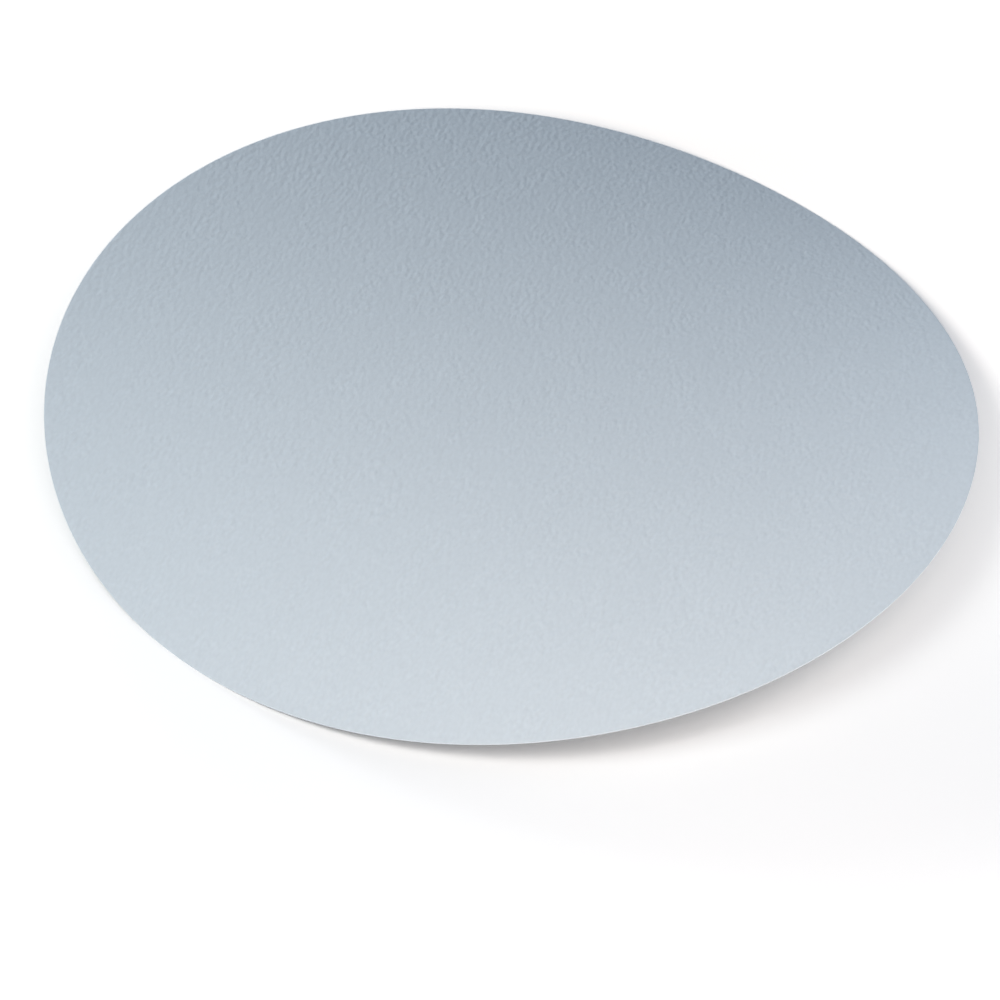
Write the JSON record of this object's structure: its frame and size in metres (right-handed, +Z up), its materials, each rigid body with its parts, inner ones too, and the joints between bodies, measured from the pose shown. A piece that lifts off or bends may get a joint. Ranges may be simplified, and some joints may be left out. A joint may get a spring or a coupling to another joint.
{
  "type": "filter paper disc",
  "caption": "Round laboratory filter paper, a plain thin sheet with a slight curl, that lies on the flat plate of a filter funnel or is folded into a cone for a glass one.",
  "frame": {"origin": "on the surface that the sheet lies on, straight below the middle of the disc", "axes": "+Z up; X along the crown line that the sheet bends about; Y across it, with the two edges that the sheet rests on at its ends"},
  "size_m": [0.11, 0.1092, 0.0057],
  "materials": {
    "paper": "matte"
  },
  "bodies": {
    "root": {"filter_disc": "paper"}
  },
  "joints": []
}
